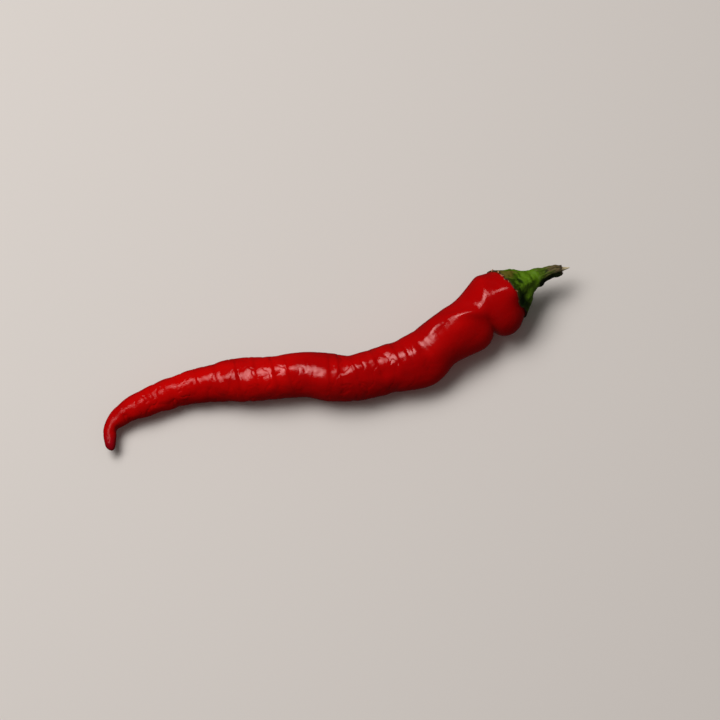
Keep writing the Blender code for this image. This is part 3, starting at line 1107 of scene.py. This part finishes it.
def make_stem():
    places = np.linspace(0, STEM.length, STEM_STEPS + 1)
    end = [(STEM.length, share) for share in END_SHARES]
    stations = [(0.0, PEG_END_SHARE), *[(s, 1.0) for s in places], *end]
    rings = np.array([(0.0, 0.0), *stations, (STEM.length, 0.0)])
    blank, ring, around = drawn_blank(STEM_SIDES, len(stations))
    at, share = rings[ring].T
    on_end = ring > STEM_STEPS + 2
    torn = np.clip(1 - (STEM.length - at) / END_TORN_OVER, 0, 1) * share
    place = at + torn * ragged(around, END_TORN, seed=9)
    place -= np.where(on_end, PITH_SUNK * (1 - share**2), 0.0)
    ribs = STEM_RIB_SHARE * STEM.read(3, at) * np.cos(STEM_RIBS * around + STEM_RIB_TURN * at)
    relief = ribs + lumps(STEM_LUMPS, at, around) + STEM_PLUMP
    set_points(blank, STEM.point(place, around, share, relief))
    keep_values(
        blank,
        straight=STEM.straightened(at, around, share),
        pith=np.where(on_end, bell(share, PITH_REACH), 0.0),
        ease=np.where(on_end | (ring < 3), 0.0, 1.0),
    )
    settings = {
        "Crease depth": 0.22,
        "Crease spacing": (9.0, 1.5, 1.5),
        "Crease width": 0.04,
        "Pillow height": 0.35,
        "Pillow spacing": (3.5, 1.2, 1.2),
        "Pillow unevenness": 1.0,
        "Dent depth": 0.5,
        "Dent spacing": (2.5, 1.6, 1.6),
        "Seed": 23.0,
        "Skin": stem_bark(),
    }
    return grow("Stem", blank, SKIN_FOLDS, settings)


stem = make_stem()
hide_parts("stem")
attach(stem, "root")


# The torn fibres
# Woody strands of the stalk that pulled out as it snapped and dried pale yellow. One is
# long, the rest are short and stand round the broken edge.

LONG_FIBRE_LENGTH = 3.8
LONG_FIBRE_SUNK = 1.2
LONG_FIBRE_FROM = (0.0, 0.17, 0.23)
LONG_FIBRE_WIDTH = 1.1
FIBRE_POINTS = 7
FIBRE_SIDES = 7
FIBRE_POINTED = 0.12
FIBRE_BOW = 0.08

# The short fibres: their lengths, the shares of the end's half width and of their own
# width and lean to draw from, and how deep they are rooted.
SHORT_FIBRES = 26
SHORT_FIBRE_LENGTHS = (0.5, 1.5)
SHORT_FIBRE_WIDTH = 0.13
SHORT_FIBRE_WIDTHS = (0.6, 1.0)
SHORT_FIBRE_LEAN = 0.45
SHORT_FIBRE_LEANS = (-0.4, 1.0)
SHORT_FIBRE_ROOTS = (0.35, 0.85)
SHORT_FIBRE_SUNK = 0.6
FIBRE_SEED = 17

FIBRE_STRAW = (0.67, 0.57, 0.35, 1)
FIBRE_BROWN = (0.44, 0.33, 0.17, 1)
FIBRE_STREAKS = (2.0, 0.25, 0.25)


def fibre_tree():
    """Draws a round strand along each line of points, as thick as the points keep."""
    tree, given = new_tree("Drawn strands", {"Sides": "Int", "Strand": "Material"})
    lines = place_node(tree, "GeometryNodeMeshToCurve", {"Mesh": given["Geometry"]})
    ring = place_node(
        tree, "GeometryNodeCurvePrimitiveCircle", {"Resolution": given["Sides"], "Radius": 1.0}
    )
    strands = place_node(
        tree,
        "GeometryNodeCurveToMesh",
        {
            "Curve": lines.outputs[0],
            "Profile Curve": ring.outputs[0],
            "Scale": kept_value(tree, "thick"),
            "Fill Caps": True,
        },
    )
    end_tree(tree, strands.outputs[0], given["Strand"])
    return tree


def strand(root, way, length, width):
    """Points along a strand that bows a little, and its half width at each."""
    share = np.linspace(0, 1, FIBRE_POINTS)[:, None]
    bow = np.array((0.0, 0.0, -FIBRE_BOW * length)) * np.sin(math.pi * share)
    return root + share * length * way + bow, width * (1 + (FIBRE_POINTED - 1) * share[:, 0])


def make_fibres():
    end = np.array([STEM.length])
    along, side, up = (axis[0] for axis in STEM.axes(end))
    middle, half = STEM.middle(end)[0], STEM.read(3, end)[0]
    start = middle + LONG_FIBRE_FROM - LONG_FIBRE_SUNK * along
    strands = [strand(start, along, LONG_FIBRE_LENGTH, LONG_FIBRE_WIDTH)]
    draw = np.random.default_rng(FIBRE_SEED)
    for _ in range(SHORT_FIBRES):
        turn = draw.uniform(0, 2 * math.pi)
        out = math.cos(turn) * side + math.sin(turn) * up
        root = middle + draw.uniform(*SHORT_FIBRE_ROOTS) * half * out - SHORT_FIBRE_SUNK * along
        way = along + SHORT_FIBRE_LEAN * draw.uniform(*SHORT_FIBRE_LEANS) * out
        length = draw.uniform(*SHORT_FIBRE_LENGTHS)
        width = SHORT_FIBRE_WIDTH * draw.uniform(*SHORT_FIBRE_WIDTHS)
        strands.append(strand(root, way, length, width))
    points = np.concatenate([line for line, _ in strands]) * MM
    edges = [
        (first + k, first + k + 1)
        for first in range(0, len(points), FIBRE_POINTS)
        for k in range(FIBRE_POINTS - 1)
    ]
    lines = bpy.data.meshes.new("lines")
    lines.from_pydata(points.tolist(), edges, [])
    keep_values(lines, thick=np.concatenate([half for _, half in strands]) * MM)
    fibre = dried("Dried fibre", FIBRE_STRAW, FIBRE_BROWN, FIBRE_STREAKS)
    return grow("Torn_fibres", lines, fibre_tree(), {"Sides": FIBRE_SIDES, "Strand": fibre})


fibres = make_fibres()
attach(fibres, "root")


# The table and the light
# A plain pale table under one soft lamp with a brighter core, high up beyond the pepper's
# far side and its tip. The pepper's gloss and its underside don't pick up the table,
# because so pale a reflection would wash out the deep red.

FLOOR_REACH = 3.0
TABLE_PALE = (0.71, 0.655, 0.61, 1)
TABLE_ROUGHNESS = 0.8
LAMP_AZIMUTH = 240
LAMP_ELEVATION = 63
ROOM_COLOUR = (1.0, 0.96, 0.94, 1)
ROOM_LIGHT = 0.13
ROOM_MIRRORED = 0.015
ROOM_SEEN = 0.6


def lay_floor():
    made, _, shader = new_material("Table")
    shader.inputs["Base Color"].default_value = TABLE_PALE
    shader.inputs["Roughness"].default_value = TABLE_ROUGHNESS
    bpy.ops.mesh.primitive_plane_add(size=2 * FLOOR_REACH, location=(0, 0, 0))
    floor = bpy.context.object
    floor.name = "Table"
    floor.data.materials.append(made)
    floor.visible_glossy = False
    floor.visible_diffuse = False
    return floor


floor = lay_floor()


def direction(azimuth, elevation):
    """The unit vector to a place seen at an azimuth and elevation, azimuth 0 at -Y."""
    a, e = math.radians(azimuth), math.radians(elevation)
    return Vector((math.sin(a) * math.cos(e), -math.cos(a) * math.cos(e), math.sin(e)))


def hang_lamp(name, away, size, power):
    """A lamp that faces the pepper from a distance in metres, with its size in metres."""
    data = bpy.data.lights.new(name, "AREA")
    data.shape = "RECTANGLE"
    data.size, data.size_y = size
    data.energy = power
    lamp = bpy.data.objects.new(name, data)
    out = direction(LAMP_AZIMUTH, LAMP_ELEVATION)
    lamp.location = out * away
    lamp.rotation_mode = "QUATERNION"
    lamp.rotation_quaternion = out.to_track_quat("Z", "Y")
    bpy.context.scene.collection.objects.link(lamp)


def light_room():
    """Even light from all round: pale where the camera sees it, dim on the pepper and
    dimmer still where its waxy skin would mirror it."""
    world = bpy.data.worlds.new("Studio")
    world.use_nodes = True
    tree = world.node_tree
    room = tree.nodes["Background"]
    room.inputs["Color"].default_value = ROOM_COLOUR
    rays = tree.nodes.new("ShaderNodeLightPath").outputs
    mirrored = maths(tree, "MULTIPLY", rays["Is Glossy Ray"], ROOM_MIRRORED - ROOM_LIGHT)
    seen = maths(tree, "MULTIPLY", rays["Is Camera Ray"], ROOM_SEEN - ROOM_LIGHT)
    strength = maths(tree, "ADD", maths(tree, "ADD", mirrored, seen), ROOM_LIGHT)
    tree.links.new(strength, room.inputs["Strength"])
    bpy.context.scene.world = world


hang_lamp("Key lamp", away=1.2, size=(1.1, 0.7), power=9.2)
hang_lamp("Key lamp core", away=1.15, size=(0.6, 0.4), power=3.8)
light_room()
bpy.context.scene.view_settings.view_transform = "Standard"


# The camera
# It looks down on the pepper at a steep slant from its near side, as the photograph does.

TARGET = Vector((7.6, -1.3, 9.0)) * MM
CAMERA_ELEVATION = 70
CAMERA_AWAY = 0.66
LENS = 100
SENSOR = 36

camera_data = bpy.data.cameras.new("Camera")
camera_data.lens = LENS
camera_data.sensor_width = SENSOR
camera = bpy.data.objects.new("Camera", camera_data)
back = direction(0, CAMERA_ELEVATION)
camera.location = TARGET + back * CAMERA_AWAY
camera.rotation_mode = "QUATERNION"
camera.rotation_quaternion = back.to_track_quat("Z", "Y")
bpy.context.scene.collection.objects.link(camera)
bpy.context.scene.camera = camera
